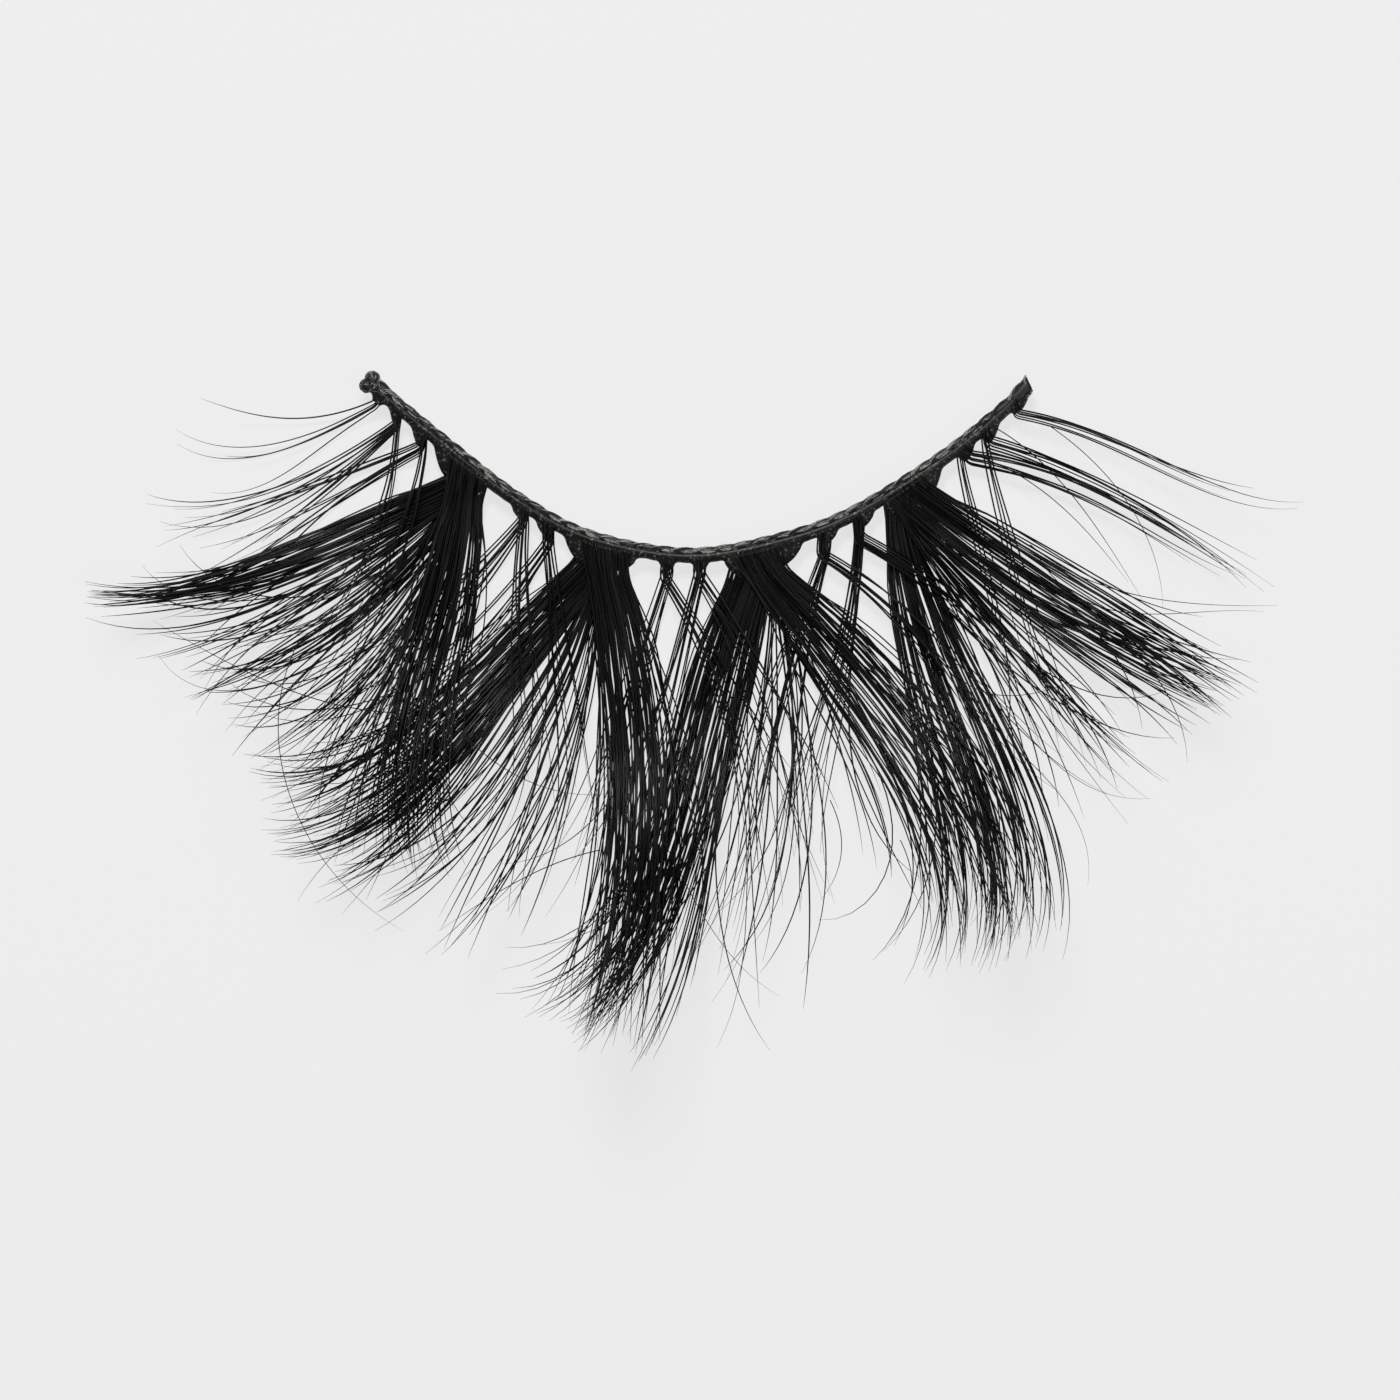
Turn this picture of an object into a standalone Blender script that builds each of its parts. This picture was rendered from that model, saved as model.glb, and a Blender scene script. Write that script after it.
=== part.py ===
"""False eyelash strip: a curved band with sixteen knotted tufts, lying with its curl upwards.

The band lies in one level plane, seen from above as a shallow bow. Each tuft hangs from a
knot under the band and opens into legs of fused locks. The legs that lean one way lie in
the under layer and the legs that lean the other way cross them in the over layer. Every
layer follows one bowl: it dips from the band to a belly and then curls up to the tips.
"""

from collections import namedtuple
from math import cos, pi, radians, sin, sqrt, tan

import bmesh
import bpy
import numpy as np
from mathutils import Vector

# Band, in plan. The chord runs along X and the bow hangs towards -Y.
BAND_CHORD = 0.0286
BAND_SAG = 0.0075
CORD_WIDTH = 0.00042
CORD_HEIGHT = 0.00050
CORD_CHAMFER = 0.00011
STRIP_WIDTH = 0.00024
STRIP_HEIGHT = 0.00036
STRIP_CHAMFER = 0.00006
SEAT_GAP = 0.00006
END_KNOB_LENGTH = 0.0010
END_KNOB_SWELL = 0.45
END_CUT_SLANT = radians(25)
END_CUT_SWELL = 0.25
END_CUT_LENGTH = 0.0022
STRIP_END_SETBACK = 0.0009

# Lashes. The reach is the plan length of the longest lash.
LASH_REACH = 0.0214
LOCK_THICKNESS = 0.00050
LAYER_GAP = 0.00020
LAYER_SPREAD_LENGTH = 0.00060
ROOT_BITE = 0.00025
KNOT_THICKNESS = 0.00052
KNOT_FLARE = 0.00022
KNOT_TAPER = 0.12
KNOT_ROUNDING = 0.25
KNOT_SPREAD = 0.30

# Bowl that the lashes follow, as drop, belly and rise.
ROOT_DROP = 0.0005
BELLY_START = 0.0036
BELLY_LENGTH = 0.0018
CURL_RISE = 0.0100

# Shape of one lock along its length, as shares of the leg and of the lock's full width.
LOCK_ROWS = (0.03, 0.10, 0.20, 0.32, 0.46, 0.60, 0.74, 0.87, 1.0)
SPLIT_ROW = 0.32
TIP_FILL = 0.20
TIP_THICKNESS = 0.30
ROOT_THICKNESS = 0.60
LOCK_EDGE = 0.50
RAGGED = 0.12
GOLDEN_STEP = 0.618

# The cord and the strip lie side by side across the band's centre line, the knots below them.
CORD_MIDDLE = -(STRIP_WIDTH + SEAT_GAP) / 2
STRIP_MIDDLE = (CORD_WIDTH + SEAT_GAP) / 2
KNOT_SEAT = STRIP_MIDDLE + STRIP_WIDTH / 2 + SEAT_GAP

BAND_STATIONS = 46
CURVE_STEPS = 16
PATH_STEPS = 32
TANGENT_STEP = 0.01

THREAD_BLACK = (0.030, 0.030, 0.032)
GLUE_BLACK = (0.012, 0.012, 0.013)
FIBRE_BLACK = (0.010, 0.010, 0.011)
THREAD_ROUGHNESS = 0.65
GLUE_ROUGHNESS = 0.40
FIBRE_ROUGHNESS = 0.42

BandPoint = namedtuple("BandPoint", "across_chord above_bow")
KnotRow = namedtuple("KnotRow", "down flare taper thickness")
Edge = namedtuple("Edge", "across down heading turn hook reach")
Leg = namedtuple("Leg", "layer locks near far")
Tuft = namedtuple("Tuft", "name start end lean start_depth end_depth body legs")

# The bow, as shares of the chord from its middle and of the sag above its lowest point.
BAND_CURVE = (
    BandPoint(-0.498, 0.983),
    BandPoint(-0.386, 0.634),
    BandPoint(-0.276, 0.314),
    BandPoint(-0.166, 0.099),
    BandPoint(-0.017, 0.000),
    BandPoint(0.127, 0.093),
    BandPoint(0.236, 0.250),
    BandPoint(0.364, 0.552),
    BandPoint(0.456, 0.831),
    BandPoint(0.498, 1.012),
)

# Rows of a knot as shares of its depth, with its flare, taper and thickness there as shares.
KNOT_ROWS = (
    KnotRow(0.00, 1, 0, 0.7),
    KnotRow(0.30, 0, 0, 1.0),
    KnotRow(0.75, 0, 0, 1.0),
    KnotRow(1.00, 0, 1, 0.8),
)

UNDER = -1
OVER = 1
FULL = 1.0
SLIM = 0.55
KNOT_COLUMNS = {FULL: 6, SLIM: 3}

# Each knot sits between two shares of the band's length and leans down at an angle in plan.
# Depths and reaches are shares of LASH_REACH. A leg's near and far edges each start across
# and down the knot, as shares of its width and depth, set off at a heading in degrees, turn
# evenly by the turn and bend once more by the hook towards the tip.
TUFTS = (
    Tuft("tuft_01", 0.008, 0.022, 235, 0.040, 0.040, SLIM, (
        Leg(UNDER, 2, Edge(0.10, 0.78, 208, -55, 5, 0.39), Edge(0.70, 1.00, 210, 15, -95, 0.45)),
    )),
    Tuft("tuft_02", 0.036, 0.050, 268, 0.085, 0.075, SLIM, (
        Leg(UNDER, 1, Edge(0.35, 0.38, 218, -25, -20, 0.53), Edge(0.50, 0.60, 217, -25, -10, 0.53)),
        Leg(OVER, 1, Edge(0.70, 0.86, 265, -45, 15, 0.50), Edge(1.15, 1.00, 266, -45, 15, 0.50)),
    )),
    Tuft("tuft_03", 0.074, 0.094, 268, 0.090, 0.080, SLIM, (
        Leg(UNDER, 1, Edge(0.37, 0.40, 206, 0, -25, 0.58), Edge(0.56, 0.62, 209, 0, -25, 0.59)),
        Leg(OVER, 1, Edge(0.75, 0.86, 259, -30, 10, 0.61), Edge(1.15, 1.00, 261, -30, 10, 0.61)),
    )),
    Tuft("tuft_04", 0.112, 0.196, 266, 0.145, 0.090, FULL, (
        Leg(UNDER, 5, Edge(0.11, 0.48, 196, 30, -55, 0.74), Edge(0.40, 1.00, 235, -30, -5, 0.66)),
        Leg(OVER, 4, Edge(0.20, 0.84, 258, -5, 35, 0.79), Edge(1.03, 0.82, 274, -55, 75, 0.75)),
    )),
    Tuft("tuft_05", 0.241, 0.262, 266, 0.060, 0.055, SLIM, (
        Leg(UNDER, 1, Edge(0.42, 0.60, 229, -15, -20, 0.74), Edge(0.86, 0.78, 236, -30, -5, 0.74)),
        Leg(OVER, 1, Edge(0.62, 0.96, 264, 25, -20, 0.59), Edge(1.15, 1.00, 266, 25, -20, 0.60)),
    )),
    Tuft("tuft_06", 0.279, 0.300, 268, 0.073, 0.068, SLIM, (
        Leg(UNDER, 1, Edge(0.44, 0.80, 234, -25, -10, 0.74), Edge(0.88, 1.00, 237, -30, -10, 0.76)),
        Leg(OVER, 1, Edge(0.65, 1.00, 276, 0, -10, 0.63), Edge(1.15, 1.00, 277, 0, -10, 0.64)),
    )),
    Tuft("tuft_07", 0.320, 0.414, 268, 0.130, 0.105, FULL, (
        Leg(UNDER, 4, Edge(0.12, 0.66, 226, 5, -45, 0.77), Edge(0.31, 1.00, 228, 20, -70, 0.84)),
        Leg(UNDER, 2, Edge(0.42, 1.00, 243, -10, -20, 0.74), Edge(0.55, 1.00, 264, -30, 0, 0.74)),
        Leg(OVER, 5, Edge(0.37, 0.85, 279, -15, -10, 0.82), Edge(0.96, 0.73, 290, -45, 5, 0.95)),
    )),
    Tuft("tuft_08", 0.446, 0.464, 270, 0.062, 0.062, SLIM, (
        Leg(UNDER, 1, Edge(0.22, 0.75, 252, 10, -25, 0.76), Edge(0.75, 0.75, 253, 10, -25, 0.76)),
        Leg(OVER, 1, Edge(0.36, 1.00, 302, -35, 0, 0.74), Edge(0.85, 0.98, 303, -35, 0, 0.75)),
    )),
    Tuft("tuft_09", 0.489, 0.507, 270, 0.057, 0.057, SLIM, (
        Leg(UNDER, 1, Edge(0.12, 0.75, 255, 5, -15, 0.77), Edge(0.66, 0.72, 256, 5, -15, 0.77)),
        Leg(OVER, 1, Edge(0.32, 1.00, 303, -30, 15, 0.68), Edge(0.86, 0.98, 304, -30, 15, 0.68)),
    )),
    Tuft("tuft_10", 0.530, 0.632, 270, 0.120, 0.115, FULL, (
        Leg(UNDER, 5, Edge(-0.05, 0.70, 245, 50, -100, 0.94), Edge(0.55, 1.00, 254, 10, -35, 1.00)),
        Leg(OVER, 6, Edge(0.30, 0.66, 297, 20, -65, 0.80), Edge(0.92, 0.70, 317, -15, -25, 0.91)),
    )),
    Tuft("tuft_11", 0.656, 0.680, 271, 0.070, 0.070, SLIM, (
        Leg(UNDER, 1, Edge(0.02, 1.00, 250, 25, -40, 0.94), Edge(0.40, 0.95, 253, 20, -40, 0.92)),
        Leg(OVER, 1, Edge(0.12, 1.00, 329, -55, 55, 0.72), Edge(0.44, 0.80, 330, -55, 55, 0.73)),
    )),
    Tuft("tuft_12", 0.706, 0.733, 271, 0.070, 0.070, SLIM, (
        Leg(UNDER, 1, Edge(0.02, 1.00, 266, -30, 30, 0.72), Edge(0.34, 0.88, 267, -30, 30, 0.72)),
        Leg(OVER, 1, Edge(0.30, 1.00, 332, -45, 35, 0.77), Edge(0.54, 0.80, 332, -45, 35, 0.78)),
    )),
    Tuft("tuft_13", 0.752, 0.838, 274, 0.105, 0.125, FULL, (
        Leg(UNDER, 4, Edge(-0.03, 0.72, 270, 45, -60, 0.90), Edge(0.46, 0.88, 290, 30, -90, 0.93)),
        Leg(OVER, 5, Edge(0.41, 1.00, 338, -60, 50, 0.63), Edge(0.84, 0.49, 341, -50, 60, 0.75)),
    )),
    Tuft("tuft_14", 0.868, 0.891, 274, 0.068, 0.072, SLIM, (
        Leg(UNDER, 1, Edge(-0.05, 1.00, 281, 10, 0, 0.57), Edge(0.32, 0.90, 283, 10, 0, 0.56)),
        Leg(OVER, 1, Edge(0.05, 0.95, 351, -45, 35, 0.53), Edge(0.20, 0.45, 351, -45, 35, 0.54)),
    )),
    Tuft("tuft_15", 0.908, 0.933, 272, 0.075, 0.078, SLIM, (
        Leg(UNDER, 1, Edge(0.02, 0.90, 281, 10, 0, 0.66), Edge(0.45, 0.95, 283, 10, 0, 0.65)),
        Leg(OVER, 2, Edge(0.44, 0.60, 343, -30, 20, 0.61), Edge(0.66, 0.35, 344, -30, 20, 0.61)),
    )),
    Tuft("tuft_16", 0.958, 0.985, 290, 0.050, 0.055, SLIM, (
        Leg(OVER, 2, Edge(-0.05, 0.98, 350, -45, 65, 0.59), Edge(0.34, 0.58, 351, -45, 65, 0.60)),
    )),
)


def blend(first, last, share):
    return first + (last - first) * share


def trace_band():
    """The band's centre line as points on one smooth curve, with the length to each."""
    marks = [Vector((p.across_chord * BAND_CHORD, p.above_bow * BAND_SAG)) for p in BAND_CURVE]
    marks.insert(0, 2 * marks[0] - marks[1])
    marks.append(2 * marks[-1] - marks[-2])
    points = []
    for a, b, c, d in zip(marks, marks[1:], marks[2:], marks[3:]):
        for step in range(CURVE_STEPS):
            t = step / CURVE_STEPS
            cubic = (3 * b - a - 3 * c + d) * t ** 3
            square = (2 * a - 5 * b + 4 * c - d) * t ** 2
            points.append((2 * b + (c - a) * t + square + cubic) / 2)
    points.append(marks[-2])
    line = np.array([tuple(p) for p in points])
    steps = np.linalg.norm(np.diff(line, axis=0), axis=1)
    return line, np.concatenate([[0.0], np.cumsum(steps)])


BAND_LINE, BAND_RUN = trace_band()
BAND_LENGTH = BAND_RUN[-1]


def band_point(share):
    run = share * BAND_LENGTH
    return Vector([float(np.interp(run, BAND_RUN, BAND_LINE[:, k])) for k in (0, 1)])


def band_tangent(share):
    ahead = band_point(min(share + TANGENT_STEP, 1.0))
    behind = band_point(max(share - TANGENT_STEP, 0.0))
    return (ahead - behind).normalized()


def lash_side(share):
    """Unit vector in plan from the band towards the lashes."""
    tangent = band_tangent(share)
    return Vector((tangent.y, -tangent.x))


def distance_to_band(point):
    start = BAND_LINE[:-1]
    along = BAND_LINE[1:] - start
    offset = np.array(tuple(point)) - start
    share = np.clip((offset * along).sum(axis=1) / (along ** 2).sum(axis=1), 0.0, 1.0)
    nearest = offset - along * share[:, None]
    return float(np.sqrt((nearest ** 2).sum(axis=1).min()))


def arc_rise(run, full_run, full_rise):
    """Height of a circle that leaves the level and rises full_rise over full_run."""
    radius = (full_run ** 2 + full_rise ** 2) / (2 * full_rise)
    return radius - sqrt(max(radius ** 2 - run ** 2, 0.0))


def bowl_height(point):
    """Height of the lashes' middle surface over its belly."""
    distance = distance_to_band(point)
    belly_end = BELLY_START + BELLY_LENGTH
    if distance < BELLY_START:
        return arc_rise(BELLY_START - distance, BELLY_START, ROOT_DROP)
    if distance < belly_end:
        return 0.0
    return arc_rise(distance - belly_end, LASH_REACH - belly_end, CURL_RISE)


def knot_place(tuft, across, down, spread=0.0):
    """Plan point of a knot, across it from its start to its end and down its rounded depth."""
    share = blend(tuft.start - spread, tuft.end + spread, across)
    lean = Vector((cos(radians(tuft.lean)), sin(radians(tuft.lean))))
    inside = min(max(across, 0.0), 1.0)
    rounding = 1.0 - KNOT_ROUNDING * down * (2 * inside - 1) ** 4
    depth = blend(tuft.start_depth, tuft.end_depth, across) * LASH_REACH - KNOT_SEAT
    return band_point(share) + lash_side(share) * KNOT_SEAT + lean * depth * down * rounding


def leg_point(tuft, leg, across, along):
    """Plan point of a leg, across from its near to its far edge and along its length in metres."""
    edge = Edge(*(blend(a, b, across) for a, b in zip(leg.near, leg.far)))
    root = knot_place(tuft, edge.across, edge.down)
    if along < 0:
        heading = radians(edge.heading)
        return root + Vector((cos(heading), sin(heading))) * along
    length = edge.reach * LASH_REACH
    steps = np.linspace(0.0, along / length, PATH_STEPS + 1)
    middle = (steps[1:] + steps[:-1]) / 2
    heading = np.radians(edge.heading + edge.turn * middle + edge.hook * middle ** 3)
    stride = along / PATH_STEPS
    return root + Vector((float(np.cos(heading).sum()), float(np.sin(heading).sum()))) * stride


def leg_length(leg, across):
    return blend(leg.near.reach, leg.far.reach, across) * LASH_REACH


def lock_fill(row):
    """Share of its full width that a lock keeps at a row."""
    past = max(row - SPLIT_ROW, 0.0) / (1.0 - SPLIT_ROW)
    return 1.0 - (1.0 - TIP_FILL) * past ** 2


def lock_thickness(row, body):
    swell = min(1.0, blend(ROOT_THICKNESS, 1.0, row / LOCK_ROWS[1]))
    return LOCK_THICKNESS * body * swell * (1.0 - (1.0 - TIP_THICKNESS) * row ** 2)


def layer_offset(layer, along):
    """Height of a layer's middle from the bowl: nearly none in the knot, then a clear gap."""
    spread = min(1.0, blend(KNOT_SPREAD, 1.0, max(along, 0.0) / LAYER_SPREAD_LENGTH))
    return layer * spread * (LOCK_THICKNESS + LAYER_GAP) / 2


def sheet_vertex(bm, depth_layer, point, height, thickness):
    vertex = bm.verts.new((point.x, point.y, bowl_height(point) + height - thickness / 2))
    vertex[depth_layer] = thickness
    return vertex


def thicken(bm, depth_layer):
    """Raise a copy of the sheet by each point's own thickness and close its sides."""
    bmesh.ops.recalc_face_normals(bm, faces=bm.faces)
    raised = bmesh.ops.extrude_face_region(bm, geom=bm.faces[:], use_keep_orig=True)
    for item in raised["geom"]:
        if isinstance(item, bmesh.types.BMVert):
            item.co.z += item[depth_layer]
    bmesh.ops.recalc_face_normals(bm, faces=bm.faces)


def lock_vertex(bm, depth_layer, tuft, leg, across, row, cut, edge_share):
    """One point of a lock's sheet, drawn back past the split by the lock's own cut."""
    past = max(row - SPLIT_ROW, 0.0) / (1.0 - SPLIT_ROW)
    along = (row - cut * past) * leg_length(leg, across) if row > 0 else -ROOT_BITE
    thickness = lock_thickness(row, tuft.body) * edge_share
    point = leg_point(tuft, leg, across, along)
    return sheet_vertex(bm, depth_layer, point, layer_offset(leg.layer, along), thickness)


def leg_mesh(tuft, leg):
    """Fan of locks, joined side by side up to the split and pointed past it."""
    bm = bmesh.new()
    depth_layer = bm.verts.layers.float.new("thickness")
    rows = []
    for row in (0.0,) + LOCK_ROWS:
        sheet = {}
        shared = {}
        for lock in range(leg.locks):
            cut = RAGGED * ((lock * GOLDEN_STEP) % 1.0)
            for side in (-1, 0, 1):
                seam = 2 * lock + side + 1
                if row > SPLIT_ROW or seam not in shared:
                    across = (lock + 0.5 + side * lock_fill(row) / 2) / leg.locks
                    edge_share = LOCK_EDGE if side else 1.0
                    shared[seam] = lock_vertex(bm, depth_layer, tuft, leg, across, row, cut, edge_share)
                sheet[lock, side] = shared[seam]
        rows.append(sheet)
    for near, far in zip(rows, rows[1:]):
        for lock in range(leg.locks):
            for side in (-1, 0):
                bm.faces.new((near[lock, side], near[lock, side + 1], far[lock, side + 1], far[lock, side]))
    thicken(bm, depth_layer)
    return bm


def knot_mesh(tuft):
    """Knot under the band: flared where it is bonded on and rounded where the legs leave it."""
    bm = bmesh.new()
    depth_layer = bm.verts.layers.float.new("thickness")
    columns = KNOT_COLUMNS[tuft.body]
    flare = KNOT_FLARE / BAND_LENGTH
    taper = KNOT_TAPER * (tuft.end - tuft.start)
    rows = []
    for row in KNOT_ROWS:
        spread = flare * row.flare - taper * row.taper
        points = [knot_place(tuft, column / columns, row.down, spread) for column in range(columns + 1)]
        thickness = KNOT_THICKNESS * row.thickness
        rows.append([sheet_vertex(bm, depth_layer, point, 0.0, thickness) for point in points])
    for near, far in zip(rows, rows[1:]):
        for a, b, c, d in zip(near, near[1:], far[1:], far):
            bm.faces.new((a, b, c, d))
    thicken(bm, depth_layer)
    return bm


def chamfered_section(width, height, chamfer):
    """Corners of an upright rectangle with cut corners, as across and up."""
    w = width / 2
    h = height / 2
    c = chamfer
    right = [(w - c, -h), (w, c - h), (w, h - c), (w - c, h)]
    return right + [(-across, up) for across, up in reversed(right)]


def sweep_band(section, middle, start, end, swell, slant):
    """Push a section along the band from one run to another, cut on a slant at its far end."""
    bm = bmesh.new()
    corner_layer = bm.verts.layers.int.new("corner")
    level = arc_rise(BELLY_START, BELLY_START, ROOT_DROP)

    def place(vertex, station):
        run = blend(start, end, station / BAND_STATIONS)
        share = run / BAND_LENGTH
        across, up = section[vertex[corner_layer]]
        across = across * swell(run)
        skew = tan(slant) * across * max(0.0, 1.0 - (end - run) / END_CUT_LENGTH)
        point = band_point(share) + lash_side(share) * (middle + across) + band_tangent(share) * skew
        vertex.co = (point.x, point.y, level + up * swell(run))

    ring = []
    for corner in range(len(section)):
        vertex = bm.verts.new((0, 0, 0))
        vertex[corner_layer] = corner
        ring.append(vertex)
    for vertex in ring:
        place(vertex, 0)
    edges = [bm.edges.new(pair) for pair in zip(ring, ring[1:] + ring[:1])]
    bm.faces.new(ring)
    for station in range(1, BAND_STATIONS + 1):
        pushed = bmesh.ops.extrude_edge_only(bm, edges=edges)["geom"]
        edges = [item for item in pushed if isinstance(item, bmesh.types.BMEdge)]
        for item in pushed:
            if isinstance(item, bmesh.types.BMVert):
                place(item, station)
    bmesh.ops.contextual_create(bm, geom=edges)
    bmesh.ops.recalc_face_normals(bm, faces=bm.faces)
    return bm


def cord_swell(run):
    """The cord is doubled into a knob at its left end and flattened wider at its right."""
    knob = max(0.0, 1.0 - (run / END_KNOB_LENGTH) ** 4)
    cut = max(0.0, 1.0 - (BAND_LENGTH - run) / END_CUT_LENGTH)
    return 1.0 + END_KNOB_SWELL * knob + END_CUT_SWELL * cut


def no_swell(run):
    return 1.0


def make_material(name, colour, roughness):
    material = bpy.data.materials.new(name)
    material.use_nodes = True
    shader = material.node_tree.nodes["Principled BSDF"]
    shader.inputs["Base Color"].default_value = (*colour, 1.0)
    shader.inputs["Roughness"].default_value = roughness
    shader.inputs["Metallic"].default_value = 0.0
    return material


def make_object(name, bm, material):
    mesh = bpy.data.meshes.new(name)
    bm.to_mesh(mesh)
    bm.free()
    mesh.materials.append(material)
    mesh.shade_smooth()
    mesh.set_sharp_from_angle(angle=pi / 4)
    obj = bpy.data.objects.new(name, mesh)
    bpy.context.scene.collection.objects.link(obj)
    return obj


def fuse(obj, others):
    """Join the others into obj by exact unions and keep the result as its mesh."""
    for other in others:
        union = obj.modifiers.new(other.name, "BOOLEAN")
        union.operation = "UNION"
        union.solver = "EXACT"
        union.object = other
    bpy.context.view_layer.update()
    graph = bpy.context.evaluated_depsgraph_get()
    fused = bpy.data.meshes.new_from_object(obj.evaluated_get(graph))
    obj.modifiers.clear()
    separate = obj.data
    obj.data = fused
    bpy.data.meshes.remove(separate)
    for other in others:
        bpy.data.objects.remove(other)


def make_tuft(tuft, material):
    knot = make_object(tuft.name, knot_mesh(tuft), material)
    legs = []
    for number, leg in enumerate(tuft.legs):
        legs.append(make_object(f"{tuft.name}_leg_{number}", leg_mesh(tuft, leg), material))
    fuse(knot, legs)
    return knot


def set_on_ground(objects):
    """Move the strip so that its box is centred on the origin and stands on it."""
    bpy.context.view_layer.update()
    corners = np.array([tuple(vertex.co) for obj in objects for vertex in obj.data.vertices])
    low = corners.min(axis=0)
    high = corners.max(axis=0)
    shift = Vector((-(low[0] + high[0]) / 2, -(low[1] + high[1]) / 2, -low[2]))
    for obj in objects:
        obj.location = shift


def build():
    for obj in list(bpy.data.objects):
        bpy.data.objects.remove(obj)
    thread = make_material("black_thread", THREAD_BLACK, THREAD_ROUGHNESS)
    glue = make_material("bonding_glue", GLUE_BLACK, GLUE_ROUGHNESS)
    fibre = make_material("lash_fibre", FIBRE_BLACK, FIBRE_ROUGHNESS)
    cord_section = chamfered_section(CORD_WIDTH, CORD_HEIGHT, CORD_CHAMFER)
    strip_section = chamfered_section(STRIP_WIDTH, STRIP_HEIGHT, STRIP_CHAMFER)
    cord = sweep_band(cord_section, CORD_MIDDLE, 0.0, BAND_LENGTH, cord_swell, END_CUT_SLANT)
    strip_end = BAND_LENGTH - STRIP_END_SETBACK
    strip = sweep_band(strip_section, STRIP_MIDDLE, STRIP_END_SETBACK, strip_end, no_swell, 0.0)
    objects = [make_object("band_cord", cord, thread), make_object("bonding_strip", strip, glue)]
    objects += [make_tuft(tuft, fibre) for tuft in TUFTS]
    set_on_ground(objects)


build()
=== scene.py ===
"""False eyelash strip: sixteen tufts of tapered hairs knotted to a braided cord with black glue.

Every hair starts at the cord, runs down its knot and follows one leg of its tuft. The legs
that lean one way lie in the under layer, and the legs that cross them lie in the over layer.
"""

from collections import namedtuple
from math import cos, radians, sin, tau

import bmesh
import bpy
import numpy as np
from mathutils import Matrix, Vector, noise


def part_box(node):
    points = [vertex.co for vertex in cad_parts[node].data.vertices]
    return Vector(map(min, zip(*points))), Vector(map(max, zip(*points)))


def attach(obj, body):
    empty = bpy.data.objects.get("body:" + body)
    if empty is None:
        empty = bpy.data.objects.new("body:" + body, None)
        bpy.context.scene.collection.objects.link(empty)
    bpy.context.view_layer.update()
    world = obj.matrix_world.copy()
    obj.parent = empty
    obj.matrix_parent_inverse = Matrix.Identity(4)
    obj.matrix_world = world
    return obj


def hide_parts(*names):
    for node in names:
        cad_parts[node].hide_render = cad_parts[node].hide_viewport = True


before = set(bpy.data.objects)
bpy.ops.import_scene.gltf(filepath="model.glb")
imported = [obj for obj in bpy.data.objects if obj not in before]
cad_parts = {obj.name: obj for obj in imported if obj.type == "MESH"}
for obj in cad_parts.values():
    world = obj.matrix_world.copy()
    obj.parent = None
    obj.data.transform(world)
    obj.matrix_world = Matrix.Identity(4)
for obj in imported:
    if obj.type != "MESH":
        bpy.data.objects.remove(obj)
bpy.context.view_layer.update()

# Driving sizes of the strip, in metres, as the frame has them.
BAND_CHORD = 0.0286
BAND_SAG = 0.0075
CORD_WIDTH = 0.00042
STRIP_WIDTH = 0.00024
SEAT_GAP = 0.00006
CORD_END_SWELL = 0.45
CORD_MIDDLE = -(STRIP_WIDTH + SEAT_GAP) / 2
STRIP_MIDDLE = (CORD_WIDTH + SEAT_GAP) / 2
KNOT_SEAT = STRIP_MIDDLE + STRIP_WIDTH / 2 + SEAT_GAP
KNOT_ROUNDING = 0.25
LASH_REACH = 0.0214
LAYER_OFFSET = 0.00035
ROOT_DROP = 0.0005
BELLY_START = 0.0036
BELLY_LENGTH = 0.0018
CURL_RISE = 0.0100

# Hairs: their thickness, how late each kind thins towards its tip, and their tone.
HAIR_RADIUS = 0.000039
TIP_RADIUS = 0.0000045
THINNEST = 0.82
THICKEST = 1.15
LOOSE_THICKNESS = 0.95
TIP_THINNING = 0.92
FULL_TAPER = 8.0
SLIM_TAPER = 2.2
LOOSE_TAPER = 5.0
HAIR_SIDES = 5
ROOT_STEPS = 6
LEG_STEPS = 24
TONE = 0.40
TONE_SPREAD = 0.24

# How hairs gather and open out along a leg, and how they stack in it. A leg's run goes from 0
# at the knot to 1 at the tip, and each pair says where on it a change sets in and is complete.
FULL_LEG = 8
STRAND_HAIRS = 3
STRAND_GATHER = 0.40
STRAND_GATHER_RUN = (0.03, 0.30)
POINT_GATHER = 0.45
SPIKE_GATHER = 0.86
POINT_GATHER_RUN = (0.45, 1.0)
SLIM_WIDENING = 1.8
SLIM_GATHER = 0.75
SLIM_GATHER_RUN = (0.02, 0.25)
LOOSE_WIDENING = 0.15
LOOSE_WIDENING_RUN = (0.0, 0.2)
SETTING_OFF_RUN = (0.0, 0.10)
WAVE_RUN = (0.0, 0.3)
LAYER_RUN = (0.0, 0.12)
LAYER_AT_KNOT = 0.45
SLIM_LONGEST = 1.03
SLIM_SHORTENING = 0.35
CORE_LONGEST = 1.02
CORE_SHORTENING = 0.24
POINT_SHORTENING = 0.05
LOOSE_REACH = (0.58, 1.05)
BUNDLE_DEPTH = 0.00010
FAN_DEPTH = 0.00045
CURL_SPREAD = 1.6
WAVES = 7.0
CORE_WAVE = 1.0
LOOSE_WAVE = 2.2
FLOOR_CLEARANCE = 0.00002

# Roots: where the hairs leave the cord, and how they run down the knot into their leg.
ROOT_INSET = 0.00012
ROOT_LAYER = 0.00009
ROOT_STACK = 0.00007
ROOT_LEAD = 0.35
ROOT_SPREAD = 0.06
STRAIGHT_ROOT = 0.45

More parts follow.
